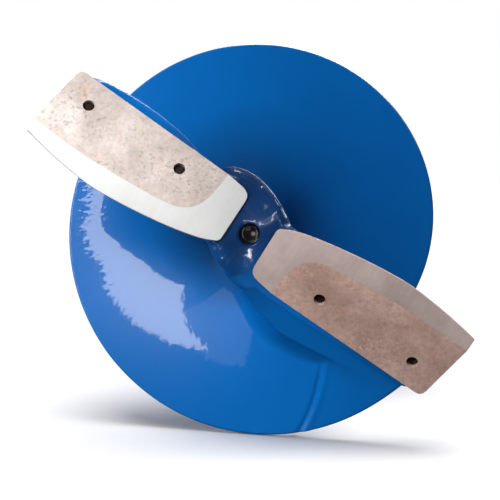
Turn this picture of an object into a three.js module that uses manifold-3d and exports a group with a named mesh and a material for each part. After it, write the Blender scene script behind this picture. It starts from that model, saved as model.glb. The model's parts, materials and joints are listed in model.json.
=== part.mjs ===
// Hand ice auger with two bolted blades, a four-piece welded flight and a telescoping crank.
//
// Everything is designed on the drill's own axis. Inside the group "drill" the tip is at z = 0
// and the handle lies towards +z. Seen from the tip, x points right and y points down, so an
// angle measured from +x towards +y grows the way the right-handed flight climbs.
// The last lines lay the finished auger on its side on the floor: the shaft runs along +Y,
// the cutting head faces -Y, and +Z is up.

import * as THREE from 'three';
import { mergeVertices } from 'three/addons/utils/BufferGeometryUtils.js';
import Module from 'manifold-3d';

// ---- Driving dimensions: millimetres and degrees ---------------------------------------------

const GAP = 0.3;                 // clearance kept between two pieces that touch

// Cutting blades, in blade coordinates: u outwards, t towards the trailing edge, n up the shaft.
const CUT_RADIUS = 101.6;        // an 8 inch (203 mm) hole
const BLADE_BEARING = 34.5;      // direction of blade B; blade A is opposite
const RAKE = 24;                 // the cutting edge leads and is lower than the trailing edge
const DIHEDRAL = 6;              // the outer ends are swept up the shaft
const BLADE_THICKNESS = 4;
const BEVEL_DEPTH = 3.3;         // how much the grinding takes off at the cutting edge
const BLADE_END = CUT_RADIUS - 2.4;     // u of the outer end
const TAPPED_RADIUS = 2.5;       // M6 thread, at its minor diameter
const SCREW_PLACES = [[39.4, 6.5], [86.2, 6.6]];

// Forged cutting head.
const WING_THICKNESS = 4;
const WING_FRONT = BLADE_THICKNESS + GAP;
const WING_LEADING = -10;        // t of the wing's front edge, behind the ground bevel
const CLEARANCE_RADIUS = 3.3;    // screw holes through the wings
const WING_INNER = 9;            // u of the wings' inner ends, inside the web
const WEB_BEARING = BLADE_BEARING + 30; // the oval web between the wings, along its longer way
const WEB_LONG = 30;
const WEB_SHORT = 17.3;
const WEB_TWIST = 8.5;           // half the width of the stretch where its front twists
const WEB_ROLL = 5;              // how far the front rolls back at the rim
const WEB_BACK = 22;             // z of its flat back
const PILOT_RADIUS = 4.5;        // open hole through the middle of the head
const TUBE_SEAT = 15;            // the drill tube stands on this height inside the socket
const SOCKET_RADIUS = 17;
const SOCKET_TOP = 24;           // the rim that the drill tube is welded into
const SPIGOT_TOP = 42;

// Flight: one right-handed sheet spiral made of four pieces.
const FLIGHT_RADIUS = 91.5;
const PITCH = 146;
const FLIGHT_SHEET = 2.5;
const FLIGHT_Z = 23.4;           // height of the sheet at FLIGHT_ANGLE
const FLIGHT_ANGLE = 50;
const FLIGHT_JOINTS = [410, 770, 1130];
const FLIGHT_END = 1400;
const FLIGHT_RUNOUT = 70;        // degrees over which the top end narrows
const SEAM_RADIUS = 64;          // where the first seam is nearest to blade B
const SEAM_ANGLE = 65.5;
const SEAM_STATIONS = [24, 37, 51, SEAM_RADIUS, 73, 82, FLIGHT_RADIUS];

// Tubes.
const TUBE_RADIUS = 13.5;
const TUBE_BORE = 11.5;
const TUBE_TOP = 700;
const CRANK_TUBE_RADIUS = 11;
const CRANK_TUBE_BORE = 9;
const CRANK_FOOT = 385;          // lower end of the crank inside the drill tube
const CLAMP_HEIGHTS = [636, 680];
const CLAMP_SCREW_RADIUS = 4;

// Crank, in its own plane: x out to the grip, z along the shaft.
const CRANK_OFFSET = 140;
const CRANK_BENDS = [[0, 745], [CRANK_OFFSET, 862], [CRANK_OFFSET, 1030], [0, 1147]];
const CRANK_TOP = 1180;
const BEND_RADIUS = 45;
const GRIP_RADIUS = 17.5;
const GRIP_ENDS = [888, 1004];

const ROUND = 32;                // facets round a large cylinder
const SMALL_ROUND = 16;          // facets round a fastener

// ---- Materials -------------------------------------------------------------------------------

function finish(color, roughness, metalness) {
  return { color, roughness, metalness };
}

const BLUE_PAINT = finish(0x0a5cab, 0.25, 0.1);
const GROUND_STEEL = finish(0xc9c2bc, 0.4, 0.9);
const PLATED_STEEL = finish(0xb4b6b8, 0.35, 0.95);
const BLACK_STEEL = finish(0x2c2b2c, 0.45, 0.6);
const BLACK_NYLON = finish(0x1a1b1d, 0.6, 0);
const BLACK_RUBBER = finish(0x151515, 0.85, 0);

// ---- Small helpers ---------------------------------------------------------------------------

const wasm = await Module();
wasm.setup();

const radians = THREE.MathUtils.degToRad;

// The solid of a closed geometry, for cutting and joining.
function solidOf(geometry) {
  const bare = geometry.clone();
  bare.deleteAttribute('normal');
  bare.deleteAttribute('uv');
  const merged = mergeVertices(bare, 1e-4);
  return new wasm.Manifold(new wasm.Mesh({
    numProp: 3,
    vertProperties: new Float32Array(merged.attributes.position.array),
    triVerts: new Uint32Array(merged.index.array),
  }));
}

// The geometry of a solid.
function geometryOf(solid) {
  const mesh = solid.getMesh();
  const geometry = new THREE.BufferGeometry();
  geometry.setAttribute('position', new THREE.BufferAttribute(mesh.vertProperties, 3));
  geometry.setIndex(new THREE.BufferAttribute(mesh.triVerts, 1));
  geometry.computeVertexNormals();
  return geometry;
}

function join(geometries) {
  return geometryOf(geometries.map(solidOf).reduce((sum, solid) => sum.add(solid)));
}

function cut(geometry, tools) {
  return geometryOf(tools.map(solidOf).reduce((rest, tool) => rest.subtract(tool), solidOf(geometry)));
}

// A turned piece about z from a list of [radius, height] corners, anticlockwise in section.
function turned(corners, facets = ROUND) {
  const profile = corners.map(([radius, height]) => new THREE.Vector2(radius, height));
  const lathe = new THREE.LatheGeometry(profile, facets);
  lathe.rotateX(Math.PI / 2);
  return lathe;
}

// A ring about z.
function ring(inner, outer, low, high, facets = ROUND) {
  return turned([[outer, low], [outer, high], [inner, high], [inner, low], [outer, low]], facets);
}

// A plain round bar about z.
function bar(radius, low, high, facets = SMALL_ROUND) {
  return turned([[0, low], [radius, low], [radius, high], [0, high]], facets);
}

// A block bent to shape: place(u, v, w) gives the point for each corner of a unit cube's grid.
function bentPlate(alongU, alongV, place) {
  const block = new THREE.BoxGeometry(1, 1, 1, alongU, alongV, 1);
  const position = block.attributes.position;
  for (let i = 0; i < position.count; i += 1) {
    const [x, y, z] = place(position.getX(i) + 0.5, position.getY(i) + 0.5, position.getZ(i) + 0.5);
    position.setXYZ(i, x, y, z);
  }
  block.computeVertexNormals();
  return block;
}

function polar(radius, degrees, height) {
  return [radius * Math.cos(radians(degrees)), radius * Math.sin(radians(degrees)), height];
}

// Reads a value from a short list of [position, value] pairs, straight between them.
function between(pairs, position) {
  const last = pairs.length - 1;
  if (position >= pairs[last][0]) {
    return pairs[last][1];
  }
  const next = Math.max(1, pairs.findIndex(([start]) => start > position));
  const [startA, valueA] = pairs[next - 1];
  const [startB, valueB] = pairs[next];
  return THREE.MathUtils.mapLinear(Math.max(position, startA), startA, startB, valueA, valueB);
}

function addMesh(parent, name, geometry, look) {
  const mesh = new THREE.Mesh(geometry, new THREE.MeshStandardMaterial(look));
  mesh.name = name;
  parent.add(mesh);
  return mesh;
}

// ---- Blade frames ----------------------------------------------------------------------------

// Turns blade coordinates (u, t, n) into drill coordinates for a blade at this bearing.
function bladeFrame(bearing) {
  const turn = new THREE.Matrix4().makeRotationZ(radians(bearing));
  const sweep = new THREE.Matrix4().makeRotationY(radians(-DIHEDRAL));
  const rake = new THREE.Matrix4().makeRotationX(radians(RAKE));
  return turn.multiply(sweep).multiply(rake);
}

const FRAME_B = bladeFrame(BLADE_BEARING);
const FRAME_A = bladeFrame(BLADE_BEARING + 180);

// ---- Blades ----------------------------------------------------------------------------------

// Flat outline of a blade: a bowed cutting edge, a straight back and two rounded back corners.
function bladeOutline() {
  const outline = new THREE.Shape();
  outline.moveTo(8.6, -6.2);
  outline.quadraticCurveTo(8.5, -8.2, 10.5, -9.2);
  outline.splineThru([
    new THREE.Vector2(16.4, -12),
    new THREE.Vector2(27.3, -15),
    new THREE.Vector2(41, -17.7),
    new THREE.Vector2(54.5, -19.6),
    new THREE.Vector2(67, -20.4),
    new THREE.Vector2(85, -18.9),
    new THREE.Vector2(BLADE_END + 1, -16.5),
  ]);
  outline.lineTo(BLADE_END, 14.5);
  outline.quadraticCurveTo(BLADE_END - 0.1, 18, BLADE_END - 3.7, 17.9);
  outline.lineTo(14.8, 16.6);
  outline.quadraticCurveTo(10.2, 16.5, 10, 12.5);
  outline.closePath();
  return outline;
}

// The grinding takes a wedge off the underside, from the inner end round to the outer tip.
// It starts at the line of inner points and passes out through the cutting edge.
function bevelCutter() {
  const start = new THREE.CatmullRomCurve3([
    new THREE.Vector3(103, -11.7, 0),
    new THREE.Vector3(79, -12.4, 0),
    new THREE.Vector3(61, -11.6, 0),
    new THREE.Vector3(47.5, -10.4, 0),
    new THREE.Vector3(37, -9.2, 0),
    new THREE.Vector3(29.5, -7.2, 0),
    new THREE.Vector3(24.6, -3, 0),
    new THREE.Vector3(22.4, 3, 0),
    new THREE.Vector3(21.9, 10, 0),
    new THREE.Vector3(21.9, 20, 0),
  ]);
  const edge = new THREE.CatmullRomCurve3([
    new THREE.Vector3(103.5, -16.5, 0),
    new THREE.Vector3(79, -19.8, 0),
    new THREE.Vector3(59, -20, 0),
    new THREE.Vector3(42, -17.9, 0),
    new THREE.Vector3(27, -15, 0),
    new THREE.Vector3(14, -11.5, 0),
    new THREE.Vector3(8.6, -6.5, 0),
    new THREE.Vector3(9, 2, 0),
    new THREE.Vector3(9.6, 10, 0),
    new THREE.Vector3(9.8, 20, 0),
  ]);
  const overrun = 1.25;
  return bentPlate(27, 1, (u, v, w) => {
    const from = start.getPoint(u);
    const point = from.clone().lerp(edge.getPoint(u), v * overrun);
    const ground = v * overrun * BEVEL_DEPTH;
    return [point.x, point.y, w === 0 ? -5 : ground];
  });
}

function bladeGeometry() {
  const plate = new THREE.ExtrudeGeometry(bladeOutline(), {
    depth: BLADE_THICKNESS,
    bevelEnabled: false,
    curveSegments: 4,
  });
  const holes = SCREW_PLACES.map(([u, t]) => {
    return bar(TAPPED_RADIUS, -1, BLADE_THICKNESS + 1).translate(u, t, 0);
  });
  return cut(plate, [bevelCutter(), ...holes]);
}

// ---- Blade fasteners -------------------------------------------------------------------------

const WASHER_LOW = WING_FRONT + WING_THICKNESS + GAP;
const WASHER_HIGH = WASHER_LOW + 1.6;
const SCREW_HEAD_LOW = WASHER_HIGH + GAP;
const SCREW_HEAD_HIGH = SCREW_HEAD_LOW + 6;

// M6 socket screw along n: thread in the blade, shank through the wing, head behind it.
function bladeScrew() {
  const thread = TAPPED_RADIUS - GAP;
  const shank = 3;
  const head = 5;
  const body = turned([
    [0, 1.4],
    [thread - 0.4, 1.4],
    [thread, 1.8],
    [thread, BLADE_THICKNESS + GAP / 2],
    [shank, BLADE_THICKNESS + GAP / 2],
    [shank, SCREW_HEAD_LOW],
    [head, SCREW_HEAD_LOW],
    [head, SCREW_HEAD_HIGH - 0.6],
    [head - 0.6, SCREW_HEAD_HIGH],
    [0, SCREW_HEAD_HIGH],
  ], SMALL_ROUND);
  const keyRadius = 2.9;
  const keyDepth = 3;
  const socket = new THREE.CylinderGeometry(keyRadius, keyRadius, keyDepth * 2, 6);
  socket.rotateX(Math.PI / 2);
  socket.translate(0, 0, SCREW_HEAD_HIGH);
  return cut(body, [socket]);
}

// Split spring washer: a ring with a narrow slot.
function springWasher() {
  const washer = ring(3.35, 5.1, WASHER_LOW, WASHER_HIGH, SMALL_ROUND);
  const slot = new THREE.BoxGeometry(4, 0.7, 4);
  slot.rotateX(radians(20));
  slot.translate(4.6, 0, (WASHER_LOW + WASHER_HIGH) / 2);
  return cut(washer, [slot]);
}

// ---- Flight ----------------------------------------------------------------------------------

function flightHeight(degrees) {
  return FLIGHT_Z + PITCH * (degrees - FLIGHT_ANGLE) / 360;
}

// Height of the sheet measured along the shaft, so that it is as thick near the tube as outside.
function sheetRise(radius) {
  const lead = PITCH / (2 * Math.PI);
  return FLIGHT_SHEET * Math.hypot(1, lead / radius);
}

// The first seam, between the head's lead-in plate and the flight, is a shallow V.
function seamAngle(radius) {
  const slope = radius > SEAM_RADIUS ? 0.52 : -1.3;
  return SEAM_ANGLE + slope * (radius - SEAM_RADIUS);
}

// The outer radius narrows to a rounded end at the top of the flight.
function flightEdge(degrees) {
  const left = THREE.MathUtils.clamp((FLIGHT_END - degrees) / FLIGHT_RUNOUT, 0, 1);
  const endRadius = 40;
  return endRadius + (FLIGHT_RADIUS - endRadius) * Math.sqrt(1 - (1 - left) ** 2);
}

// Angle at this radius, moved on by a distance along the arc.
function movedOn(degrees, radius, distance) {
  return degrees + THREE.MathUtils.radToDeg(distance / radius);
}

// One piece of the spiral; the stations are the radii of its grid, outside the tube.
function flightSection(startAngle, endAngle, facets, stations) {
  const inner = TUBE_RADIUS + GAP;
  return bentPlate(stations.length, facets, (u, v, w) => {
    const middle = THREE.MathUtils.lerp(startAngle(FLIGHT_RADIUS), endAngle, v);
    const station = [inner, ...stations][Math.round(u * stations.length)];
    const share = (station - inner) / (FLIGHT_RADIUS - inner);
    const radius = THREE.MathUtils.lerp(inner, flightEdge(middle), share);
    const first = movedOn(startAngle(radius), radius, GAP / 2);
    const last = movedOn(endAngle, radius, -GAP / 2);
    const angle = THREE.MathUtils.lerp(first, last, v);
    return polar(radius, angle, flightHeight(angle) + w * sheetRise(radius));
  });
}

// A weld bead laid along a seam, on the upper face of the sheet.
function seamBead(seam, inner, outer) {
  const halfWidth = 2.6;
  const crown = 1.7;
  const lift = 0.5;
  return bentPlate(6, 4, (u, v, w) => {
    const radius = THREE.MathUtils.lerp(inner, outer, u);
    const across = (v - 0.5) * 2;
    const angle = movedOn(seam(radius), radius, across * halfWidth);
    const rise = w * (0.5 + crown * (1 - across * across));
    return polar(radius, angle, flightHeight(angle) + sheetRise(radius) + lift + rise);
  });
}

// The fillet weld that holds a piece of the flight to the tube, on the upper face of the sheet.
function rootWeld(startAngle, endAngle) {
  const inner = TUBE_RADIUS + GAP;
  const leg = 3.6;
  const lift = 1;
  const degreesPerFacet = 8;
  return bentPlate(1, Math.round((endAngle - startAngle) / degreesPerFacet), (u, v, w) => {
    const radius = inner + u * leg;
    const angle = THREE.MathUtils.lerp(startAngle, endAngle, v);
    const rise = w * (u === 0 ? leg : 0.6);
    return polar(radius, angle, flightHeight(angle) + sheetRise(radius) + lift + rise);
  });
}

// ---- Cutting head ----------------------------------------------------------------------------

// Trailing edges of the two wings as [u, t] corners. Wing A ends in a lip behind its blade, and
// the lead-in plate is welded along the back of wing B.
const WING_A_BACK = [[9, 20.3], [20, 18.6], [28, 17.4], [56, 21.2], [78, 24], [98.4, 18]];
const WING_B_BACK = [[9, 20.6], [20, 22.5], [90, 22.5], [98.2, 18.2]];
const LIP_START = 17.6;

function wing(backEdge, lipCurl) {
  const outer = backEdge[backEdge.length - 1][0];
  return bentPlate(12, 8, (u, v, w) => {
    const along = THREE.MathUtils.lerp(WING_INNER, outer, u);
    const across = THREE.MathUtils.lerp(WING_LEADING, between(backEdge, along), v);
    const curl = lipCurl * Math.max(0, across - LIP_START) ** 2;
    return [along, across, WING_FRONT + curl + w * WING_THICKNESS];
  });
}

// Angle at which the back edge of wing B, seen along the shaft, crosses this radius.
function wingBackAngle(radius) {
  const distance = 19.3;
  return BLADE_BEARING + THREE.MathUtils.radToDeg(Math.asin(distance / radius));
}

// Height, over a point, of the plane that a wing's front face lies in.
function wingPlaneHeight(frame, x, y, behind = 0) {
  const normal = new THREE.Vector3(0, 0, 1).transformDirection(frame);
  return (WING_FRONT + behind - normal.x * x - normal.y * y) / normal.z;
}

// The lead-in plate leaves the plane of wing B and settles into the spiral of the flight. Its
// inner edge passes the end of the web.
function leadIn() {
  const spans = SEAM_STATIONS.length - 1;
  const besideWeb = 5.4;
  return bentPlate(spans, 12, (u, v, w) => {
    const station = SEAM_STATIONS[Math.round(u * spans)];
    const radius = u === 0 ? station + besideWeb * (1 - v) : station;
    const start = wingBackAngle(radius);
    const end = movedOn(seamAngle(radius), radius, -GAP / 2);
    const angle = THREE.MathUtils.lerp(start, end, v);
    const [x, y] = polar(radius, angle, 0);
    const blend = THREE.MathUtils.smoothstep(angle, start, end);
    const height = THREE.MathUtils.lerp(wingPlaneHeight(FRAME_B, x, y, 1), flightHeight(angle), blend);
    return [x, y, height + w * sheetRise(radius)];
  });
}

// The oval web between the wings. Its front twists from one wing's plane to the other's, and
// rolls back at the rim.
function headWeb() {
  const web = new THREE.SphereGeometry(1, 40, 16);
  web.rotateX(Math.PI / 2);
  const position = web.attributes.position;
  const turn = radians(WEB_BEARING);
  const towardsB = new THREE.Vector2(Math.cos(radians(BLADE_BEARING)), Math.sin(radians(BLADE_BEARING)));
  for (let i = 0; i < position.count; i += 1) {
    const point = new THREE.Vector2(position.getX(i), position.getY(i));
    const rim = point.length();
    point.set(point.x * WEB_LONG, point.y * WEB_SHORT).rotateAround(new THREE.Vector2(), turn);
    const planes = [FRAME_A, FRAME_B].map((frame) => wingPlaneHeight(frame, point.x, point.y));
    const share = THREE.MathUtils.smoothstep(point.dot(towardsB), -WEB_TWIST, WEB_TWIST);
    const front = THREE.MathUtils.lerp(...planes, share) + WEB_ROLL * rim ** 8;
    const atBack = position.getZ(i) > 1e-6;
    position.setXYZ(i, point.x, point.y, atBack ? WEB_BACK : front);
  }
  return web;
}

function headGeometry() {
  const socket = turned([
    [0, TUBE_SEAT - 1],
    [SOCKET_RADIUS, TUBE_SEAT - 1],
    [SOCKET_RADIUS, SOCKET_TOP],
    [0, SOCKET_TOP],
  ]);
  const spigot = bar(TUBE_BORE - GAP, SOCKET_TOP - 5, SPIGOT_TOP, ROUND);
  const wingA = wing(WING_A_BACK, 0.1).applyMatrix4(FRAME_A);
  const wingB = wing(WING_B_BACK, 0).applyMatrix4(FRAME_B);
  const forging = join([headWeb(), socket, spigot, wingA, wingB]);

  const tubeSpace = ring(TUBE_BORE - GAP, TUBE_RADIUS + GAP, TUBE_SEAT, SPIGOT_TOP + 60);
  const pilot = bar(PILOT_RADIUS, -20, SPIGOT_TOP + 5);
  const tools = [tubeSpace, pilot];
  for (const frame of [FRAME_A, FRAME_B]) {
    for (const [u, t] of SCREW_PLACES) {
      const hole = bar(CLEARANCE_RADIUS, 0, WASHER_HIGH + 10).translate(u, t, 0);
      tools.push(hole.applyMatrix4(frame));
    }
  }
  return cut(forging, tools);
}

// Fillet weld round the tube, on the rim of the socket.
function socketWeld() {
  const inner = TUBE_RADIUS + GAP;
  const low = SOCKET_TOP + GAP;
  const high = low + 3;
  return turned([[inner, low], [SOCKET_RADIUS - 0.2, low], [inner + 0.8, high], [inner, high], [inner, low]]);
}

// ---- Tubes and clamp -------------------------------------------------------------------------

// Turns a piece made along z so that it stands out of the tube, away from the floor.
function radialUp(geometry, height) {
  geometry.rotateX(Math.PI / 2);
  geometry.translate(0, 0, height);
  return geometry;
}

function drillTube() {
  const tube = ring(TUBE_BORE, TUBE_RADIUS, TUBE_SEAT + GAP, TUBE_TOP);
  const holes = CLAMP_HEIGHTS.map((height) => {
    return radialUp(bar(CLAMP_SCREW_RADIUS + GAP, 5, 20), height);
  });
  return cut(tube, holes);
}

// Hexagonal boss welded on the tube, saddled to its round wall.
function clampNut(height) {
  const nutRadius = 8.6;
  const nutTop = 22;
  const nut = new THREE.CylinderGeometry(nutRadius, nutRadius, nutTop - 8, 6);
  nut.rotateX(Math.PI / 2);
  nut.translate(0, 0, (nutTop + 8) / 2);
  const bored = cut(nut, [bar(CLAMP_SCREW_RADIUS + GAP, 0, nutTop + 5)]);
  const saddle = bar(TUBE_RADIUS + GAP, height - 20, height + 20, ROUND);
  return cut(radialUp(bored, height), [saddle]);
}

// Wing screw along z: threaded shank, round hub and two rounded wings.
function wingScrew() {
  const tip = CRANK_TUBE_RADIUS + GAP;
  const hubLow = 26;
  const hubHigh = 38;
  const shank = turned([
    [0, tip],
    [CLAMP_SCREW_RADIUS - 1, tip],
    [CLAMP_SCREW_RADIUS, tip + 1],
    [CLAMP_SCREW_RADIUS, hubLow],
    [7, hubLow],
    [6, hubHigh],
    [0, hubHigh],
  ], SMALL_ROUND);
  const wings = new THREE.Shape();
  wings.moveTo(-4, 0);
  wings.lineTo(-12, 5);
  wings.absarc(-12, 12, 5, -Math.PI * 0.6, -Math.PI * 1.75, true);
  wings.lineTo(0, 8);
  wings.lineTo(8.5, 15.5);
  wings.absarc(12, 12, 5, Math.PI * 0.75, -Math.PI * 0.4, true);
  wings.lineTo(12, 5);
  wings.lineTo(4, 0);
  wings.closePath();
  const plate = new THREE.ExtrudeGeometry(wings, { depth: 4, bevelEnabled: false, curveSegments: 6 });
  plate.translate(0, 0, -2);
  plate.rotateX(Math.PI / 2);
  plate.translate(0, 0, hubLow + 2);
  return join([shank, plate]);
}

function tubeCollar() {
  const skirt = TUBE_RADIUS + GAP + 0.05;
  const bore = CRANK_TUBE_RADIUS + GAP + 0.05;
  const seat = TUBE_TOP + GAP;
  return turned([
    [skirt, 690.5],
    [16.6, 690.5],
    [16.6, seat + 4],
    [15.4, seat + 6],
    [bore, seat + 6],
    [bore, seat],
    [skirt, seat],
    [skirt, 690.5],
  ]);
}

// ---- Crank -----------------------------------------------------------------------------------

// Centre line of a bent tube given by its corner points, each corner rounded by an arc.
// It has one station at every end of a straight and a few round each bend.
class BentRun extends THREE.Curve {
  constructor(corners, bendRadius, stepsPerBend) {
    super();
    this.stations = [corners[0]];
    for (let i = 1; i < corners.length - 1; i += 1) {
      const into = corners[i].clone().sub(corners[i - 1]).normalize();
      const out = corners[i + 1].clone().sub(corners[i]).normalize();
      const angle = into.angleTo(out);
      const inward = out.clone().sub(into).normalize();
      const centre = corners[i].clone().addScaledVector(inward, bendRadius / Math.cos(angle / 2));
      for (let step = 0; step <= stepsPerBend; step += 1) {
        const turn = THREE.MathUtils.lerp(-angle / 2, angle / 2, step / stepsPerBend);
        const along = into.clone().add(out).normalize();
        const point = centre.clone().addScaledVector(inward, -bendRadius * Math.cos(turn));
        this.stations.push(point.addScaledVector(along, bendRadius * Math.sin(turn)));
      }
    }
    this.stations.push(corners[corners.length - 1]);
  }

  getPoint(t, target = new THREE.Vector3()) {
    const place = t * (this.stations.length - 1);
    const index = Math.min(Math.floor(place), this.stations.length - 2);
    return target.lerpVectors(this.stations[index], this.stations[index + 1], place - index);
  }

  getUtoTmapping(u) {
    return u;
  }
}

function crankTube() {
  const corners = [[0, CRANK_FOOT], ...CRANK_BENDS, [0, CRANK_TOP]];
  const run = new BentRun(corners.map(([x, z]) => new THREE.Vector3(x, 0, z)), BEND_RADIUS, 5);
  const section = new THREE.Shape();
  section.absarc(0, 0, CRANK_TUBE_RADIUS, 0, Math.PI * 2);
  const bore = new THREE.Path();
  bore.absarc(0, 0, CRANK_TUBE_BORE, 0, Math.PI * 2, true);
  section.holes.push(bore);
  return new THREE.ExtrudeGeometry(section, {
    steps: run.stations.length - 1,
    extrudePath: run,
    curveSegments: 10,
  });
}

// The grip turns on the crank tube between two pressed collars.
function gripCore() {
  const [low, high] = GRIP_ENDS;
  const bore = CRANK_TUBE_RADIUS + 0.4;
  return turned([
    [bore, low],
    [16, low],
    [16, low + 2.5],
    [13.6, low + 2.5],
    [13.6, high - 2.5],
    [16, high - 2.5],
    [16, high],
    [bore, high],
    [bore, low],
  ]);
}

function gripSleeve() {
  const low = GRIP_ENDS[0] + 2.5 + GAP;
  const high = GRIP_ENDS[1] - 2.5 - GAP;
  const corners = [[13.9, low], [16.2, low]];
  const swells = 8;
  for (let i = 1; i < swells; i += 1) {
    const share = i / swells;
    const barrel = 1.3 * Math.sin(Math.PI * share);
    corners.push([GRIP_RADIUS - 1.3 + barrel, THREE.MathUtils.lerp(low, high, share)]);
  }
  corners.push([16.2, high], [13.9, high], [13.9, low]);
  return turned(corners);
}

// ---- Top knob --------------------------------------------------------------------------------

const PLUG_TOP = CRANK_TOP + 2.3;
const KNOB_LOW = PLUG_TOP + GAP;
const KNOB_SEAT = 1203;
const KNOB_TOP = 1216;
const KNOB_SCREW_RADIUS = 4;

function knobPlug() {
  const bore = KNOB_SCREW_RADIUS + GAP;
  const body = CRANK_TUBE_BORE - GAP;
  return turned([
    [bore, 1167],
    [body, 1167],
    [body, CRANK_TOP + GAP],
    [CRANK_TUBE_RADIUS, CRANK_TOP + GAP],
    [CRANK_TUBE_RADIUS, PLUG_TOP],
    [bore, PLUG_TOP],
    [bore, 1167],
  ]);
}

function topKnob() {
  const bore = KNOB_SCREW_RADIUS + 0.5;
  return turned([
    [bore, KNOB_LOW],
    [12.5, KNOB_LOW],
    [14, KNOB_LOW + 2],
    [16, KNOB_LOW + 7],
    [23.5, KNOB_LOW + 14],
    [26, KNOB_LOW + 20],
    [25, KNOB_LOW + 26],
    [20, KNOB_TOP - 2.2],
    [14, KNOB_TOP - 0.8],
    [9.2, KNOB_TOP - 0.4],
    [9.2, KNOB_SEAT],
    [bore, KNOB_SEAT],
    [bore, KNOB_LOW],
  ]);
}

function knobScrew() {
  const headLow = KNOB_SEAT + GAP + 1.5 + GAP;
  return turned([
    [0, 1169],
    [KNOB_SCREW_RADIUS, 1169],
    [KNOB_SCREW_RADIUS, headLow],
    [6.8, headLow],
    [6.8, headLow + 4.5],
    [6, headLow + 5.2],
    [0, headLow + 5.2],
  ], SMALL_ROUND);
}

function knobCap() {
  const low = KNOB_TOP - 3.4;
  return turned([[0, low], [8.8, low], [8.8, KNOB_TOP - 0.6], [7.6, KNOB_TOP], [0, KNOB_TOP]]);
}

// ---- Assembly --------------------------------------------------------------------------------

const drill = new THREE.Group();

// Head, blades and their screws.
addMesh(drill, 'cutting_head', headGeometry(), BLUE_PAINT);
addMesh(drill, 'lead_in_plate', leadIn(), BLUE_PAINT);
let screwNumber = 0;
for (const [letter, frame] of [['a', FRAME_A], ['b', FRAME_B]]) {
  const station = new THREE.Group();
  station.applyMatrix4(frame);
  drill.add(station);
  addMesh(station, `blade_${letter}`, bladeGeometry(), GROUND_STEEL);
  for (const [u, t] of SCREW_PLACES) {
    screwNumber += 1;
    const screw = addMesh(station, `blade_screw_${screwNumber}`, bladeScrew(), BLACK_STEEL);
    screw.position.set(u, t, 0);
    const washer = addMesh(station, `blade_washer_${screwNumber}`, springWasher(), PLATED_STEEL);
    washer.position.set(u, t, 0);
  }
}

// Flight sections and the weld beads over their seams.
const seams = [seamAngle, ...FLIGHT_JOINTS.map((angle) => () => angle)];
const sectionEnds = [...FLIGHT_JOINTS, FLIGHT_END];
seams.forEach((seam, i) => {
  const degreesPerFacet = 6;
  const facets = Math.round((sectionEnds[i] - seam(FLIGHT_RADIUS)) / degreesPerFacet);
  const stations = i === 0 ? SEAM_STATIONS : [22, 40, 64, FLIGHT_RADIUS];
  const section = flightSection(seam, sectionEnds[i], facets, stations);
  addMesh(drill, `flight_section_${i + 1}`, section, BLUE_PAINT);
  const inner = i === 0 ? SEAM_RADIUS + 2 : 22;
  addMesh(drill, `seam_weld_${i + 1}`, seamBead(seam, inner, FLIGHT_RADIUS - 4), BLUE_PAINT);
  const margin = 8;
  const root = rootWeld(seam(TUBE_RADIUS) + margin, sectionEnds[i] - margin);
  addMesh(drill, `root_weld_${i + 1}`, root, BLUE_PAINT);
});
addMesh(drill, 'socket_weld', socketWeld(), BLUE_PAINT);

// Drill tube with its clamp.
addMesh(drill, 'drill_tube', drillTube(), BLUE_PAINT);
addMesh(drill, 'tube_collar', tubeCollar(), BLACK_NYLON);
CLAMP_HEIGHTS.forEach((height, i) => {
  addMesh(drill, `clamp_nut_${i + 1}`, clampNut(height), BLUE_PAINT);
  const screw = addMesh(drill, `wing_screw_${i + 1}`, wingScrew(), PLATED_STEEL);
  screw.position.z = height;
  screw.rotation.x = Math.PI / 2;
});

// Crank: turned down to the side so that its grip rests on the same floor as the flight.
const crank = new THREE.Group();
crank.rotation.z = Math.asin((FLIGHT_RADIUS - GRIP_RADIUS) / CRANK_OFFSET);
drill.add(crank);
addMesh(crank, 'crank_tube', crankTube(), BLUE_PAINT);
const grip = new THREE.Group();
grip.position.x = CRANK_OFFSET;
crank.add(grip);
addMesh(grip, 'grip_core', gripCore(), BLACK_NYLON);
addMesh(grip, 'grip_sleeve', gripSleeve(), BLACK_RUBBER);
const collarRadii = [CRANK_TUBE_RADIUS + GAP, 14.6];
const [gripLow, gripHigh] = GRIP_ENDS;
addMesh(grip, 'grip_collar_1', ring(...collarRadii, gripLow - 4, gripLow - 0.5), PLATED_STEEL);
addMesh(grip, 'grip_collar_2', ring(...collarRadii, gripHigh + 0.5, gripHigh + 4), PLATED_STEEL);

// Palm knob on the crank's top end.
const knobWasher = ring(KNOB_SCREW_RADIUS + GAP, 8, KNOB_SEAT + GAP, KNOB_SEAT + GAP + 1.5);
addMesh(crank, 'knob_plug', knobPlug(), PLATED_STEEL);
addMesh(crank, 'top_knob', topKnob(), BLACK_NYLON);
addMesh(crank, 'knob_washer', knobWasher, PLATED_STEEL);
addMesh(crank, 'knob_screw', knobScrew(), PLATED_STEEL);
addMesh(crank, 'knob_cap', knobCap(), BLACK_NYLON);

// Lay the auger down along +Y and set the origin on the floor, under the middle of its box.
const part = new THREE.Group();
part.name = 'hand_ice_auger';
drill.rotation.x = -Math.PI / 2;
part.add(drill);
part.updateMatrixWorld(true);
const box = new THREE.Box3().setFromObject(part, true);
drill.position.x = -(box.min.x + box.max.x) / 2;
drill.position.y = -(box.min.y + box.max.y) / 2;
drill.position.z = -box.min.z;
part.updateMatrixWorld(true);

export default part;
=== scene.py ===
"""Looks of a hand ice auger: painted spiral, forged head, ground blades, cranked handle.

Lengths are millimetres in the drill's own frame (tip at z = 0, handle towards +z, x to the right
and y downwards seen from the tip) until drill_point() turns them into the part's metres.
"""

import json
import math

import bmesh
import bpy
from mathutils import Matrix, Vector, noise


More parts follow.
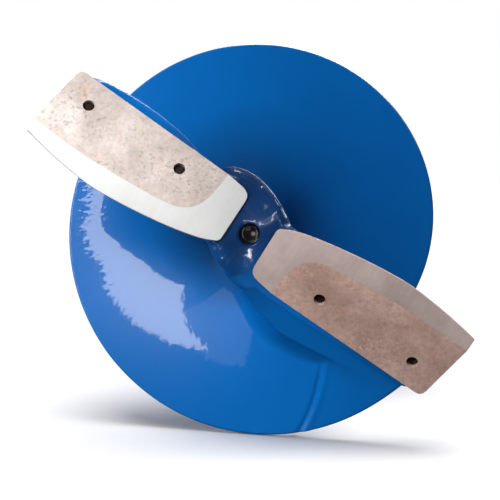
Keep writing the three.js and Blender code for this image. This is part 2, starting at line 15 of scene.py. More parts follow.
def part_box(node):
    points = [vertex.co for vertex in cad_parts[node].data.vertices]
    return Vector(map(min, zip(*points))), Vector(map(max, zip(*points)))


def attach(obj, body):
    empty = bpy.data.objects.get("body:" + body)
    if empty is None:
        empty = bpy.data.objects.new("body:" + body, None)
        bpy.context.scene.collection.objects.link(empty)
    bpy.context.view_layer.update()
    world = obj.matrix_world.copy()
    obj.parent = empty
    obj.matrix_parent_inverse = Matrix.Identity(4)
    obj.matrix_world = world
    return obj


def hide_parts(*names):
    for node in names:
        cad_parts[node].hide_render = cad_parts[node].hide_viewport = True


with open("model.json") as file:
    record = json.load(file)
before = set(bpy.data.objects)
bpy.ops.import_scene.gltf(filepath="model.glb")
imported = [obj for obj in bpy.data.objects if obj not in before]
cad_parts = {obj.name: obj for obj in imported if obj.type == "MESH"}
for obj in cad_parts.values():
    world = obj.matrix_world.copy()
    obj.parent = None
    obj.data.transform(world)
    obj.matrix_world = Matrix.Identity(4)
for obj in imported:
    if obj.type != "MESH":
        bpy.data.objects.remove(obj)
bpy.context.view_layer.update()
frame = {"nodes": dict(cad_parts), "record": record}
scene = bpy.context.scene

# ---- The drill's own frame -------------------------------------------------------------------

MM = 0.001
TUBE_TOP = 700
BLADE_BEARING = 34.5
RAKE = 24
DIHEDRAL = 6
BLADE_THICKNESS = 4
SEAT_GAP = 0.3
FLIGHT_RADIUS = 91.5
FLIGHT_INNER = 13.7
PITCH = 146
FLIGHT_SHEET = 2.5
FLIGHT_Z = 23.4
FLIGHT_ANGLE = 50
FLIGHT_JOINTS = (410, 770, 1130)
FLIGHT_END = 1400
FLIGHT_RUNOUT = 70
RUNOUT_RADIUS = 40
SEAM_RADIUS = 64
SEAM_ANGLE = 65.5
SEAM_SLOPES = (-1.3, 0.52)
GROOVE_SHIFT = 3.4
RIM_ROUND = 0.7
SKIN = 0.15
RIM_STEP = 0.45
UNDER_WING = 17
BEHIND_WING_FRONT = 0.25
LEAD_IN_INNER = 21
LEAD_IN_ROWS = 64
FOLD_DISTANCE = 28.7
FOLD_SLANT = 0.13
FOLD_MIDDLE = 34
INNER_SLANT = -0.27
WAVE_HEIGHT = 0.12
PILOT_END = 12
PILOT_BARE_RADIUS = 3.9
FORGING_VOXEL = 0.55
# Middle of the painted shade round the root of the head, in drill millimetres.
PAINTED_SHADE_CENTRE = (-4, -12, 0)

# Lumps fused to the forging: middle and three half-widths, in a blade's frame or, for the plug, the part's.
ROOT_FILLET = ((8, 22.8, 5.2), (8, 3.2, 1.5))
BACK_LEDGE = ((68, 16, 6.3), (34, 8.2, 1.6))
PLUG_RADII = (5.6, 2, 5.6)

tube_low, tube_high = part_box("drill_tube")
AXIS_X = (tube_low.x + tube_high.x) / 2
AXIS_Z = (tube_low.z + tube_high.z) / 2
TIP_Y = tube_high.y - TUBE_TOP * MM

# Turns the drill's own frame (metres) into the part's frame.
DRILL_FRAME = Matrix.Translation((AXIS_X, TIP_Y, AXIS_Z)) @ Matrix.Rotation(-math.pi / 2, 4, "X")


def drill_point(x, y, z):
    """A point of the drill's own frame, in millimetres, as a point of the part in metres."""
    return DRILL_FRAME @ Vector((x * MM, y * MM, z * MM))


def blade_frame(bearing):
    """Frame of a blade: u outwards, t towards the trailing edge, n up the shaft."""
    turn = Matrix.Rotation(math.radians(bearing), 4, "Z")
    sweep = Matrix.Rotation(math.radians(-DIHEDRAL), 4, "Y")
    rake = Matrix.Rotation(math.radians(RAKE), 4, "X")
    return DRILL_FRAME @ turn @ sweep @ rake


def lerp(a, b, share):
    return a + (b - a) * share


def smooth(value, low, high):
    """0 below low, 1 above high and an S-curve between them."""
    share = min(1, max(0, (value - low) / (high - low)))
    return share * share * (3 - 2 * share)


# ---- Node helpers ----------------------------------------------------------------------------


class Nodes:
    """Builds one material, node by node."""

    def __init__(self, name):
        self.material = bpy.data.materials.new(name)
        self.material.use_nodes = True
        self.tree = self.material.node_tree
        self.shader = self.tree.nodes["Principled BSDF"]
        self.place = self.add("ShaderNodeTexCoord").outputs["Object"]

    def add(self, kind, **settings):
        node = self.tree.nodes.new(kind)
        for name, value in settings.items():
            setattr(node, name, value)
        return node

    def link(self, source, target):
        self.tree.links.new(source, target)

    def stretched(self, scale, turn):
        """The surface position, turned back by a rotation, then scaled by a number for each axis."""
        mapping = self.add("ShaderNodeMapping", vector_type="TEXTURE")
        mapping.inputs["Rotation"].default_value = turn.to_euler()
        mapping.inputs["Scale"].default_value = [1 / number for number in scale]
        self.link(self.place, mapping.inputs["Vector"])
        return mapping.outputs["Vector"]

    def noise(self, scale, detail=4, roughness=0.55, distortion=0, place=None):
        texture = self.add("ShaderNodeTexNoise")
        texture.inputs["Scale"].default_value = scale
        texture.inputs["Detail"].default_value = detail
        texture.inputs["Roughness"].default_value = roughness
        texture.inputs["Distortion"].default_value = distortion
        self.link(place or self.place, texture.inputs["Vector"])
        return texture.outputs["Fac"]

    def ramp(self, value, stops):
        """Maps a value to grey levels or colours given as (position, level or colour) stops."""
        node = self.add("ShaderNodeValToRGB")
        elements = node.color_ramp.elements
        while len(elements) < len(stops):
            elements.new(0.5)
        for element, (position, level) in zip(elements, stops):
            element.position = position
            element.color = (*level, 1) if isinstance(level, tuple) else (level, level, level, 1)
        self.link(value, node.inputs["Fac"])
        return node.outputs["Color"]

    def mix(self, share, a, b):
        """Blends two colours, each a tuple or an output, by an output."""
        node = self.add("ShaderNodeMix", data_type="RGBA")
        self.link(share, node.inputs["Factor"])
        for value, socket in ((a, node.inputs["A"]), (b, node.inputs["B"])):
            if isinstance(value, tuple):
                socket.default_value = (*value, 1)
            else:
                self.link(value, socket)
        return node.outputs["Result"]

    def off_line(self, point):
        """Distance in metres from the line through a point, parallel to the shaft."""
        flat = self.add("ShaderNodeVectorMath", operation="MULTIPLY")
        self.link(self.place, flat.inputs[0])
        flat.inputs[1].default_value = (1, 0, 1)
        node = self.add("ShaderNodeVectorMath", operation="DISTANCE")
        self.link(flat.outputs["Vector"], node.inputs[0])
        node.inputs[1].default_value = (point.x, 0, point.z)
        return node.outputs["Value"]

    def along_shaft(self):
        """Distance in metres from the tip of the drill, towards the handle."""
        split = self.add("ShaderNodeSeparateXYZ")
        self.link(self.place, split.inputs["Vector"])
        return self.maths("SUBTRACT", split.outputs["Y"], TIP_Y)

    def maths(self, operation, a, b):
        node = self.add("ShaderNodeMath", operation=operation)
        for value, socket in ((a, node.inputs[0]), (b, node.inputs[1])):
            if isinstance(value, (int, float)):
                socket.default_value = value
            else:
                self.link(value, socket)
        return node.outputs["Value"]

    def bump(self, height, distance, strength=1, normal=None):
        """Raises the surface by a height output times a distance in metres."""
        node = self.add("ShaderNodeBump")
        node.inputs["Strength"].default_value = strength
        node.inputs["Distance"].default_value = distance
        self.link(height, node.inputs["Height"])
        if normal:
            self.link(normal, node.inputs["Normal"])
        return node.outputs["Normal"]

    def finish(self, colour, roughness, normal, metallic=0, **sockets):
        for value, name in ((colour, "Base Color"), (roughness, "Roughness"), (normal, "Normal")):
            self.link(value, self.shader.inputs[name])
        self.shader.inputs["Metallic"].default_value = metallic
        for name, value in sockets.items():
            self.shader.inputs[name.replace("_", " ")].default_value = value
        return self.material


# ---- Materials -------------------------------------------------------------------------------


def blue_paint(name="blue_powder_coat", bare_radius=0):
    """Glossy powder coat with orange peel, faint waves, painted shade at the root and bare steel on the
    axis.
    """
    m = Nodes(name)
    drift = m.noise(14, detail=3)
    clean = m.mix(m.ramp(drift, [(0.35, 0.0), (0.7, 1.0)]), (0.0008, 0.140, 0.50), (0.0007, 0.160, 0.56))
    # Painted shade: the coat darkens close to the shaft near the tip, where the head and blades shade the
    # spiral.
    wobble = m.maths("MULTIPLY", m.maths("SUBTRACT", m.noise(55, detail=4), 0.5), 0.012)
    reach = m.maths("ADD", m.off_line(drill_point(*PAINTED_SHADE_CENTRE)), wobble)
    near_root = m.ramp(m.maths("MULTIPLY", reach, 10), [(0.18, 1.0), (0.50, 0.0)])
    near_tip = m.ramp(m.maths("MULTIPLY", m.along_shaft(), 5), [(0.40, 1.0), (0.65, 0.0)])
    painted_shade = m.maths("MULTIPLY", near_root, near_tip)
    colour = m.mix(painted_shade, clean, (0.005, 0.031, 0.115))
    if bare_radius:
        bare = m.maths("LESS_THAN", m.off_line(drill_point(0, 0, 0)), bare_radius * MM)
        rust = m.mix(m.noise(500, detail=5), (0.022, 0.012, 0.005), (0.010, 0.007, 0.004))
        colour = m.mix(bare, colour, rust)
    scuff = m.ramp(m.noise(90, detail=8, roughness=0.7, distortion=1.2), [(0.62, 0.0), (0.72, 1.0)])
    roughness = m.maths("ADD", m.maths("MULTIPLY", scuff, 0.10), 0.33)
    waves = m.bump(m.noise(28, detail=2, roughness=0.4), 0.0003, 0.5)
    peel = m.bump(m.noise(430, detail=1, roughness=0.4), 0.00003, 1, waves)
    m.link(peel, m.shader.inputs["Coat Normal"])
    return m.finish(colour, roughness, peel, Coat_Weight=0.42, Coat_Roughness=0.035, Specular_IOR_Level=0.12)


def blade_flat(name, pale, dark, stain, pores, specks):
    """Unground face of a blade: matt mottled steel with rusty freckles, dark pores and pale specks."""
    m = Nodes(name)
    cloud = m.noise(60, detail=7, roughness=0.7)
    base = m.mix(m.ramp(cloud, [(0.38, 0.0), (0.62, 1.0)]), dark, pale)
    fine = m.ramp(m.noise(420, detail=6, roughness=0.75), [(0.44, 0.0), (0.60, 1.0)])
    grain = m.mix(m.maths("MULTIPLY", fine, 0.6), base, dark)
    freckle = m.ramp(m.noise(150, detail=5, roughness=0.65, distortion=0.9), [(0.54, 0.0), (0.66, 1.0)])
    freckled = m.mix(m.maths("MULTIPLY", freckle, 0.5), grain, stain)
    patch = m.ramp(m.noise(26, detail=3), [(0.48, 0.0), (0.62, 1.0)])
    pore = m.ramp(m.noise(650, detail=3, roughness=0.6), [(0.54, 0.0), (0.64, 1.0)])
    pore_share = m.maths("ADD", m.maths("MULTIPLY", patch, pores), 0.18)
    pored = m.mix(m.maths("MULTIPLY", pore, pore_share), freckled, tuple(0.45 * level for level in dark))
    speck = m.ramp(m.noise(700, detail=3, roughness=0.6), [(0.56, 0.0), (0.64, 1.0)])
    speck_share = m.maths("ADD", m.maths("MULTIPLY", patch, specks), 0.25)
    colour = m.mix(m.maths("MULTIPLY", speck, speck_share), pored, pale)
    roughness = m.ramp(cloud, [(0.3, 0.58), (0.7, 0.46)])
    pits = m.bump(m.noise(700, detail=4, roughness=0.6), 0.00006, 0.5)
    return m.finish(colour, roughness, pits, metallic=0.2)


def blade_ground(name, bearing, pale, dark):
    """Ground bevel: brighter steel with fine lines across the edge."""
    m = Nodes(name)
    lines = m.noise(1, detail=3, roughness=0.6, place=m.stretched((620, 70, 70), blade_frame(bearing)))
    cloud = m.noise(38, detail=5, roughness=0.6)
    streaks = m.ramp(lines, [(0.35, 0.0), (0.65, 1.0)])
    colour = m.mix(m.maths("MULTIPLY", streaks, 0.18), pale, dark)
    tinted = m.mix(m.ramp(cloud, [(0.40, 0.0), (0.68, 0.75)]), colour, dark)
    roughness = m.ramp(lines, [(0.3, 0.44), (0.7, 0.58)])
    scratches = m.bump(lines, 0.00003, 0.4)
    return m.finish(tinted, roughness, scratches, metallic=0.2, Specular_IOR_Level=0.25)


def dark_steel():
    """Black oxide on screws, worn grey on the high spots."""
    m = Nodes("black_oxide_steel")
    wear = m.ramp(m.noise(500, detail=5, roughness=0.7), [(0.5, 0.0), (0.75, 1.0)])
    colour = m.mix(wear, (0.035, 0.018, 0.012), (0.13, 0.10, 0.09))
    roughness = m.ramp(wear, [(0.0, 0.5), (1.0, 0.32)])
    return m.finish(colour, roughness, m.bump(wear, 0.00005, 0.4), metallic=0.8)


def plated_steel():
    """Zinc plate: cool grey spangle with small dull patches."""
    m = Nodes("zinc_plated_steel")
    patch = m.ramp(m.noise(160, detail=5, roughness=0.6), [(0.4, 0.0), (0.7, 1.0)])
    colour = m.mix(patch, (0.62, 0.64, 0.66), (0.46, 0.47, 0.47))
    roughness = m.ramp(patch, [(0.0, 0.24), (1.0, 0.42)])
    return m.finish(colour, roughness, m.bump(patch, 0.00004, 0.4), metallic=0.95)


def black_nylon():
    """Moulded nylon with a fine spark-eroded texture."""
    m = Nodes("black_nylon")
    cloud = m.noise(45, detail=4)
    colour = m.mix(m.ramp(cloud, [(0.4, 0.0), (0.7, 1.0)]), (0.012, 0.012, 0.013), (0.028, 0.028, 0.03))
    roughness = m.ramp(m.noise(300), [(0.3, 0.42), (0.7, 0.58)])
    return m.finish(colour, roughness, m.bump(m.noise(1500, detail=2), 0.00006, 0.6))


def grip_rubber():
    """Soft matt rubber with dusty patches."""
    m = Nodes("grip_rubber")
    dust = m.ramp(m.noise(70, detail=6, roughness=0.7), [(0.45, 0.0), (0.8, 1.0)])
    colour = m.mix(dust, (0.012, 0.012, 0.012), (0.045, 0.043, 0.04))
    roughness = m.ramp(m.noise(220), [(0.3, 0.72), (0.7, 0.9)])
    return m.finish(colour, roughness, m.bump(m.noise(900, detail=3), 0.0001, 0.6))


def pale_floor():
    """Matt white studio paper."""
    m = Nodes("studio_paper")
    fibres = m.noise(60, detail=5)
    colour = m.mix(fibres, (0.93, 0.93, 0.93), (0.96, 0.96, 0.96))
    roughness = m.ramp(fibres, [(0.0, 0.9), (1.0, 0.97)])
    return m.finish(colour, roughness, m.bump(fibres, 0.0001, 0.2), Specular_IOR_Level=0.1)


# The third look of each blade is a near-white painted highlight on its rounded edges and hole rims.
BLADE_LOOKS = {
    "a": (
        blade_flat("blade_a_face", (0.76, 0.67, 0.63), (0.54, 0.46, 0.42), (0.68, 0.48, 0.37), 0.5, 0.2),
        blade_ground("blade_a_bevel", BLADE_BEARING + 180, (0.79, 0.80, 0.79), (0.68, 0.67, 0.66)),
        blade_ground("blade_a_edge_highlight", BLADE_BEARING + 180, (0.97, 0.95, 0.93), (0.90, 0.86, 0.82)),
    ),
    # Blade B's face and bevel are darker than blade A's: painted shade, as blade B tilts away from the
    # lights.
    "b": (
        blade_flat("blade_b_face_painted_shade", (0.80, 0.55, 0.48), (0.52, 0.335, 0.28), (0.72, 0.40, 0.27), 0.1, 0.5),
        blade_ground("blade_b_bevel_painted_shade", BLADE_BEARING, (0.68, 0.55, 0.52), (0.44, 0.33, 0.30)),
        blade_ground("blade_b_edge_highlight", BLADE_BEARING, (0.97, 0.84, 0.80), (0.90, 0.72, 0.66)),
    ),
}
SLOT_LOOKS = {
    "blue_paint": blue_paint(),
    "black_steel": dark_steel(),
    "plated_steel": plated_steel(),
    "black_nylon": black_nylon(),
    "grip_rubber": grip_rubber(),
}

# ---- Mesh helpers ----------------------------------------------------------------------------


def body_of(node):
    """Name of the body that a CAD node rides on."""
    return next(name for name, members in frame["record"]["behaviour"]["bodies"].items() if node in members)


def soften(piece, width, angle=30, material=-1):
    """Rounds the sharp edges of a piece, in one of its materials, and shades the rest smooth."""
    bevel = piece.modifiers.new("soft_edges", "BEVEL")
    bevel.material = material
    bevel.width = width * MM
    bevel.segments = 2
    bevel.limit_method = "ANGLE"
    bevel.angle_limit = math.radians(angle)
    bevel.harden_normals = True
    for polygon in piece.data.polygons:
        polygon.use_smooth = True
    mark_sharp(piece.data, angle)


def mark_sharp(mesh, angle):
    """Marks edges sharper than an angle, so that smooth shading stops there."""
    work = bmesh.new()
    work.from_mesh(mesh)
    for edge in work.edges:
        if len(edge.link_faces) == 2:
            edge.smooth = edge.calc_face_angle(0) < math.radians(angle)
    work.to_mesh(mesh)
    work.free()


def stand_for(piece, node):
    """The piece takes the node's place, body and finish."""
    slot = next(part["material_slot"] for part in frame["record"]["subparts"] if part["node"] == node)
    if not piece.data.materials:
        piece.data.materials.append(SLOT_LOOKS[slot])
    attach(piece, body_of(node))
    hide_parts(node)


def copy_of(node, name, at=Matrix.Identity(4)):
    """A new piece with the CAD node's shape, its mesh held in the given frame."""
    mesh = frame["nodes"][node].data.copy()
    mesh.materials.clear()
    mesh.transform(at.inverted())
    work = bmesh.new()
    work.from_mesh(mesh)
    bmesh.ops.remove_doubles(work, verts=work.verts, dist=0.000002)
    flat = math.radians(0.5)
    bmesh.ops.dissolve_limit(work, angle_limit=flat, verts=work.verts, edges=work.edges)
    work.to_mesh(mesh)
    work.free()
    piece = bpy.data.objects.new(name, mesh)
    piece.matrix_world = at
    scene.collection.objects.link(piece)
    return piece


# ---- Flight ----------------------------------------------------------------------------------


def polar(radius, degrees, height):
    angle = math.radians(degrees)
    return radius * math.cos(angle), radius * math.sin(angle), height


def flight_height(degrees):
    return FLIGHT_Z + PITCH * (degrees - FLIGHT_ANGLE) / 360


def seam_angle(radius):
    """Angle of the shallow V-shaped seam between the lead-in plate and the flight."""
    inner, outer = SEAM_SLOPES
    slope = outer if radius > SEAM_RADIUS else inner
    return SEAM_ANGLE + slope * (radius - SEAM_RADIUS)


def flight_edge(degrees):
    """Outer radius, which narrows to a rounded end at the top."""
    left = min(1, (FLIGHT_END - degrees) / FLIGHT_RUNOUT)
    return RUNOUT_RADIUS + (FLIGHT_RADIUS - RUNOUT_RADIUS) * math.sqrt(max(0, 1 - (1 - left) ** 2))


def form_waves(x, y, z):
    """Hammered unevenness of pressed sheet, in millimetres."""
    return WAVE_HEIGHT * noise.noise(Vector((x, y, z)) / 38)


def sheet_rise(radius):
    """Thickness of the sheet measured along the shaft."""
    return FLIGHT_SHEET * math.hypot(1, PITCH / math.tau / radius)


def seam_groove(radius, angle):
    """Depth of the shallow welded groove beside the outer leg of the first seam."""
    across = math.radians(angle - seam_angle(radius)) * radius + GROOVE_SHIFT
    dip = 0.7 * math.exp(-((across / 1.2) ** 2)) - 0.45 * math.exp(-(((across + 3) / 1.8) ** 2))
    return dip * smooth(radius, SEAM_RADIUS - 3, SEAM_RADIUS + 5)


def sheet_solid(name, rings):
    """A solid sheet from closed rings of corners in drill mm, joined one to the next and capped."""
    corners = [drill_point(*corner) for ring in rings for corner in ring]
    count = len(rings[0])
    faces = []
    for first in (0, len(corners) - count):
        for i in range(count // 2):
            around = (first + i, first + i + 1, first + count - 2 - i, first + count - 1 - i)
            faces.append(tuple(dict.fromkeys(around)))
    for row in range(len(rings) - 1):
        for i in range(count):
            a = row * count + i
            b = row * count + (i + 1) % count
            faces.append((a, b, b + count, a + count))
    mesh = bpy.data.meshes.new(name)
    mesh.from_pydata(corners, [], faces)
    work = bmesh.new()
    work.from_mesh(mesh)
    bmesh.ops.recalc_face_normals(work, faces=work.faces)
    work.to_mesh(mesh)
    work.free()
    for polygon in mesh.polygons:
        polygon.use_smooth = True
    mark_sharp(mesh, 50)
    piece = bpy.data.objects.new(name, mesh)
    scene.collection.objects.link(piece)
    return piece


def sheet_ring(radii, angle_at, front_at):
    """Closed section of a sheet: the front face outwards, the rounded rim, the back face inwards."""
    front = []
    back = []
    for radius in radii:
        angle = angle_at(radius)
        x, y, height = polar(radius, angle, front_at(radius, angle))
        front.append((x, y, height))
        back.append((x, y, height + sheet_rise(radius)))
    outer = radii[-1]
    angle = angle_at(outer)
    _, _, height = front[-1]
    rim = []
    for share in (0.15, 0.5, 0.85):
        bulge = RIM_ROUND * math.sin(math.pi * share)
        rim.append(polar(outer + bulge, angle, height + share * sheet_rise(outer)))
    return front + rim + back[::-1]


def rows_between(start, end, spacing, fine=()):
    """Angles from start to end at a spacing, with extra rows at small distances after the start."""
    count = round((end - start) / spacing)
    return [0, *fine, *[i / count for i in range(1, count + 1)]]


def radii_between(inner, outer, inside, beyond):
    """Radii with one on the corner of the seam and a close pair at the rim."""
    if outer < SEAM_RADIUS + 3:
        spread = inside + beyond
        return [*[lerp(inner, outer - RIM_STEP, i / spread) for i in range(spread + 1)], outer]
    low = [lerp(inner, SEAM_RADIUS, i / inside) for i in range(inside)]
    high = [lerp(SEAM_RADIUS, outer - RIM_STEP, i / beyond) for i in range(beyond + 1)]
    return [*low, *high, outer]


def flight_piece(number, start_angle, end_angle):
    name = f"flight_section_{number}"
    start = start_angle(FLIGHT_RADIUS)
    fine = [i * 0.4 / (end_angle - start) for i in range(1, 5)] if number == 1 else []
    rings = []
    for v in rows_between(start, end_angle, 2, fine):
        outer = flight_edge(lerp(start, end_angle, v)) - RIM_ROUND - SKIN
        radii = radii_between(FLIGHT_INNER, outer, 22, 12)

        def angle_at(radius, v=v):
            return lerp(start_angle(radius), end_angle, v)

        def front_at(radius, angle):
            x, y, height = polar(radius, angle, flight_height(angle))
            groove = seam_groove(radius, angle) if number == 1 else 0
            return height + groove + form_waves(x, y, height)

        rings.append(sheet_ring(radii, angle_at, front_at))
    stand_for(sheet_solid(name + "_sheet", rings), name)


def wing_plane_height(x, y):
    """Height of the front face of wing B, carried on past its back edge."""
    to_blade = blade_frame(BLADE_BEARING).to_3x3()
    normal = DRILL_FRAME.to_3x3().inverted() @ to_blade @ Vector((0, 0, 1))
    behind = BLADE_THICKNESS + SEAT_GAP + BEHIND_WING_FRONT
    return (behind - normal.x * x - normal.y * y) / normal.z


def lead_in_piece():
    """The plate that leaves wing B at a soft fold and settles into the spiral."""
    rings = []
    for row in range(LEAD_IN_ROWS + 1):

        def angle_at(radius, v=row / LEAD_IN_ROWS):
            start = BLADE_BEARING + math.degrees(math.asin(min(0.95, UNDER_WING / radius)))
            return lerp(start, seam_angle(radius), v)

        def front_at(radius, angle):
            x, y, flight = polar(radius, angle, flight_height(angle))
            away = math.radians(angle - BLADE_BEARING)
            along = radius * math.cos(away) - FOLD_MIDDLE
            fold = FOLD_DISTANCE - along * (FOLD_SLANT if along > 0 else INNER_SLANT)
            past = radius * math.sin(away) - fold
            reach = radius * math.sin(math.radians(seam_angle(radius) - BLADE_BEARING)) - fold
            share = min(1, max(0, past / max(reach, 1)))
            settled = 1 - (1 - share) ** 2
            height = lerp(wing_plane_height(x, y), flight, settled)
            return height + seam_groove(radius, angle) + form_waves(x, y, flight)

        outer = FLIGHT_RADIUS - RIM_ROUND - SKIN
        radii = radii_between(LEAD_IN_INNER, outer, 30, 18)
        rings.append(sheet_ring(radii, angle_at, front_at))
    stand_for(sheet_solid("lead_in_sheet", rings), "lead_in_plate")


# ---- Head and blades -------------------------------------------------------------------------


def add_lump(mesh, place, middle, radii):
    """Adds an ellipsoid to a mesh, placed in a frame and ready to be fused with the mesh."""
    at = place @ Matrix.Translation([length * MM for length in middle])
    work = bmesh.new()
    work.from_mesh(mesh)
    stretch = Matrix.Diagonal((*(radius * MM for radius in radii), 1))
    bmesh.ops.create_icosphere(work, subdivisions=4, radius=1, matrix=at @ stretch)
    work.to_mesh(mesh)
    work.free()


def forged_head():
    """The cutting head with the soft edges of a painted forging and a bare end in its pilot hole."""
    piece = copy_of("cutting_head", "cutting_head_forging")
    add_lump(piece.data, blade_frame(BLADE_BEARING), *ROOT_FILLET)
    add_lump(piece.data, blade_frame(BLADE_BEARING + 180), *BACK_LEDGE)
    plug = Matrix.Translation(drill_point(0, 0, PILOT_END + PLUG_RADII[1]))
    add_lump(piece.data, plug, (0, 0, 0), PLUG_RADII)
    piece.data.materials.append(blue_paint("painted_forging", PILOT_BARE_RADIUS))
    voxels = piece.modifiers.new("forging_skin", "REMESH")
    voxels.mode = "VOXEL"
    voxels.voxel_size = FORGING_VOXEL * MM
    voxels.use_smooth_shade = True
    relax = piece.modifiers.new("soft_forging", "SMOOTH")
    relax.factor = 0.5
    relax.iterations = 8
    stand_for(piece, "cutting_head")
    return piece


def blade(letter, bearing):
    """A blade, with its ground bevel and its softened edges, which carry a painted highlight, told apart
    from the mottled face.
    """
    at = blade_frame(bearing)
    piece = copy_of(f"blade_{letter}", f"blade_{letter}_steel", at)
    for look in BLADE_LOOKS[letter]:
        piece.data.materials.append(look)
    for polygon in piece.data.polygons:
        ground = -0.995 < polygon.normal.z < -0.8
        polygon.material_index = 1 if ground else 0
    piece.data.transform(at)
    piece.matrix_world = Matrix.Identity(4)
    # The rounded edges take the third material, the painted highlight.
    soften(piece, 0.65, angle=40, material=2)
    stand_for(piece, f"blade_{letter}")
    return piece


# ---- Every piece -----------------------------------------------------------------------------

for number, (start, end) in enumerate(
    zip(
        [seam_angle, *[lambda radius, joint=joint: joint for joint in FLIGHT_JOINTS]],
        [*FLIGHT_JOINTS, FLIGHT_END],
    ),
    start=1,
):
    flight_piece(number, start, end)
lead_in_piece()
head = forged_head()
blades = [blade("a", BLADE_BEARING + 180), blade("b", BLADE_BEARING)]

for node, solid in frame["nodes"].items():
    if solid.hide_render:
        continue
    piece = copy_of(node, node + "_finished")
    soften(piece, 0.3)
    stand_for(piece, node)

# ---- Studio ----------------------------------------------------------------------------------

WORLD_FILL = 0.14
WORLD_GLOSS = 0.03
FLOOR_HALF = 30
FLOOR_SUN = 2.9
FLOOR_SKY = 0.7
KEY_Z = -650
KEY_RADIANCE = 15.0
KEY_OUTLINE = [(-40, -470), (-370, -365), (-550, -215), (-760, -30), (-760, -250), (-850, -700),
               (-516, -605), (-215, -570), (-40, -570)]
CAMERA_PAN = 3.38
CAMERA_TILT = 3.601
CAMERA_SHIFT = (-0.606, -6.072, 420.576)


def add_floor():
    """A wide sheet of studio paper, left out of the reflections and bounced light on the drill."""
    mesh = bpy.data.meshes.new("floor")
    corners = [(x * FLOOR_HALF, y * FLOOR_HALF, 0) for x, y in ((-1, -1), (1, -1), (1, 1), (-1, 1))]
    mesh.from_pydata(corners, [], [(0, 1, 2, 3)])
    mesh.materials.append(pale_floor())
    floor = bpy.data.objects.new("floor", mesh)
    floor.visible_glossy = False
    floor.visible_diffuse = False
    scene.collection.objects.link(floor)
    return floor


def only_for(lamp, pieces):
    """Lets a lamp light these objects and nothing else."""
    receivers = bpy.data.collections.new(lamp.name + "_receivers")
    for piece in pieces:
        receivers.objects.link(piece)
    lamp.light_linking.receiver_collection = receivers


def add_softbox(name, centre, target, width, height, watts, spread):
    """A rectangular area light at a point, facing another; both are in drill millimetres."""
    light = bpy.data.lights.new(name, "AREA")
    light.shape = "RECTANGLE"
    light.size = width
    light.size_y = height
    light.energy = watts
    light.spread = math.radians(spread)
    lamp = bpy.data.objects.new(name, light)
    away = drill_point(*centre) - drill_point(*target)
    turn = away.to_track_quat("Z", "Y").to_matrix().to_4x4()
    lamp.matrix_world = Matrix.Translation(drill_point(*centre)) @ turn
    lamp.visible_camera = False
    scene.collection.objects.link(lamp)
    return lamp


def add_world():
    """White surroundings for the camera, a dim room for reflections and a grey fill for the rest."""
    world = bpy.data.worlds.new("studio")
    scene.world = world
    world.use_nodes = True
    tree = world.node_tree
    background = tree.nodes["Background"]
    background.inputs["Color"].default_value = (1, 1, 1, 1)
    rays = tree.nodes.new("ShaderNodeLightPath")
    strength = WORLD_FILL
    for kind, level in (("Is Glossy Ray", WORLD_GLOSS), ("Is Camera Ray", 1.0)):
        blend = tree.nodes.new("ShaderNodeMix")
        if isinstance(strength, float):
            blend.inputs["A"].default_value = strength
        else:
            tree.links.new(strength, blend.inputs["A"])
        blend.inputs["B"].default_value = level
        tree.links.new(rays.outputs[kind], blend.inputs["Factor"])
        strength = blend.outputs["Result"]
    tree.links.new(strength, background.inputs["Strength"])


def add_key_light(pieces):
    """A big window-shaped light up and to the left, made of glowing cloth stretched on a frame."""
    mesh = bpy.data.meshes.new("key_window")
    corners = [drill_point(x, y, KEY_Z) for x, y in KEY_OUTLINE]
    mesh.from_pydata(corners, [], [tuple(range(len(corners)))])
    glow = bpy.data.materials.new("window_glow")
    glow.use_nodes = True
    nodes = glow.node_tree.nodes
    nodes.clear()
    emission = nodes.new("ShaderNodeEmission")
    emission.inputs["Strength"].default_value = KEY_RADIANCE
    output = nodes.new("ShaderNodeOutputMaterial")
    glow.node_tree.links.new(emission.outputs["Emission"], output.inputs["Surface"])
    mesh.materials.append(glow)
    window = bpy.data.objects.new("key_window", mesh)
    window.visible_camera = False
    scene.collection.objects.link(window)
    only_for(window, pieces)


def light_floor(floor):
    """Two overhead suns, one soft and one wide, keep the studio paper white to the horizon."""
    for name, strength, width in (("floor_sun", FLOOR_SUN, 48), ("floor_sky", FLOOR_SKY, 160)):
        light = bpy.data.lights.new(name, "SUN")
        light.energy = strength
        light.angle = math.radians(width)
        lamp = bpy.data.objects.new(name, light)
        lamp.rotation_euler = (math.radians(9), math.radians(1), 0)
        only_for(lamp, [floor])
        scene.collection.objects.link(lamp)


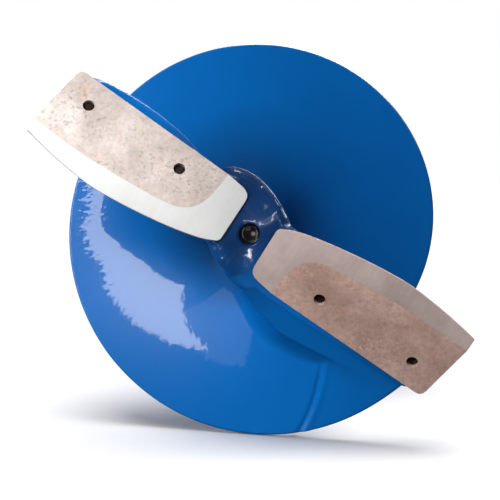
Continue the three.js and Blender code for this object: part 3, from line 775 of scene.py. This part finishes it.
def add_softboxes(everything):
    """Fills round the drill, and small cards that put the glints on the head alone."""
    for name, centre, target, width, height, watts, spread, lit in (
        ("blade_light", (120, -1000, -760), (-40, -40, 20), 0.5, 0.5, 2.6, 180, blades),
        ("front_fill", (-100, -130, -430), (0, 0, 40), 0.16, 0.16, 0.12, 180, None),
        ("low_card", (22, 84, -38), (-3, 9, 6), 0.085, 0.012, 0.0035, 30, [head]),
        ("pilot_glint", (39, 21, -335), (0, 0, 12), 0.09, 0.09, 0.003, 20, [head]),
        ("wing_card", (9, -335, 122), (-58, -60, 23), 0.12, 0.06, 0.007, 18, [head]),
        ("right_card", (218, -101, 112), (16, -4, 3), 0.08, 0.08, 0.008, 30, [head]),
        ("right_fill", (1500, -900, 560), (0, 0, 620), 1.1, 1.1, 13, 180, everything),
        ("left_fill", (-1500, -900, 620), (0, 0, 660), 1.1, 1.1, 10, 180, everything),
        ("back_fill", (300, -1100, 2000), (0, 0, 700), 1.1, 1.1, 20, 180, everything),
        ("reflector_left", (-1500, -190, -800), (-20, 30, 45), 0.97, 0.93, 4.5, 180, None),
    ):
        lamp = add_softbox(name, centre, target, width, height, watts, spread)
        if lit:
            only_for(lamp, lit)


def add_camera():
    """A 75 mm lens, 0.42 m in front of the head, a little to the right of the axis and above it."""
    pan = Matrix.Rotation(math.radians(CAMERA_PAN), 3, "Y")
    turn = pan @ Matrix.Rotation(math.radians(CAMERA_TILT), 3, "X")
    place = turn.transposed() @ -Vector(CAMERA_SHIFT)
    axes = DRILL_FRAME.to_3x3() @ turn.transposed() @ Matrix(((1, 0, 0), (0, -1, 0), (0, 0, -1)))
    data = bpy.data.cameras.new("camera")
    data.lens = 75
    data.sensor_width = 36
    data.clip_start = 0.01
    data.clip_end = 100
    camera = bpy.data.objects.new("camera", data)
    camera.matrix_world = Matrix.Translation(drill_point(*place)) @ axes.to_4x4()
    scene.collection.objects.link(camera)
    scene.camera = camera


floor = add_floor()
light_floor(floor)
add_world()
add_camera()
scene.view_settings.view_transform = "Standard"
everything = [piece for piece in scene.objects if piece.type == "MESH" and piece is not floor]
add_key_light(everything)
add_softboxes(everything)
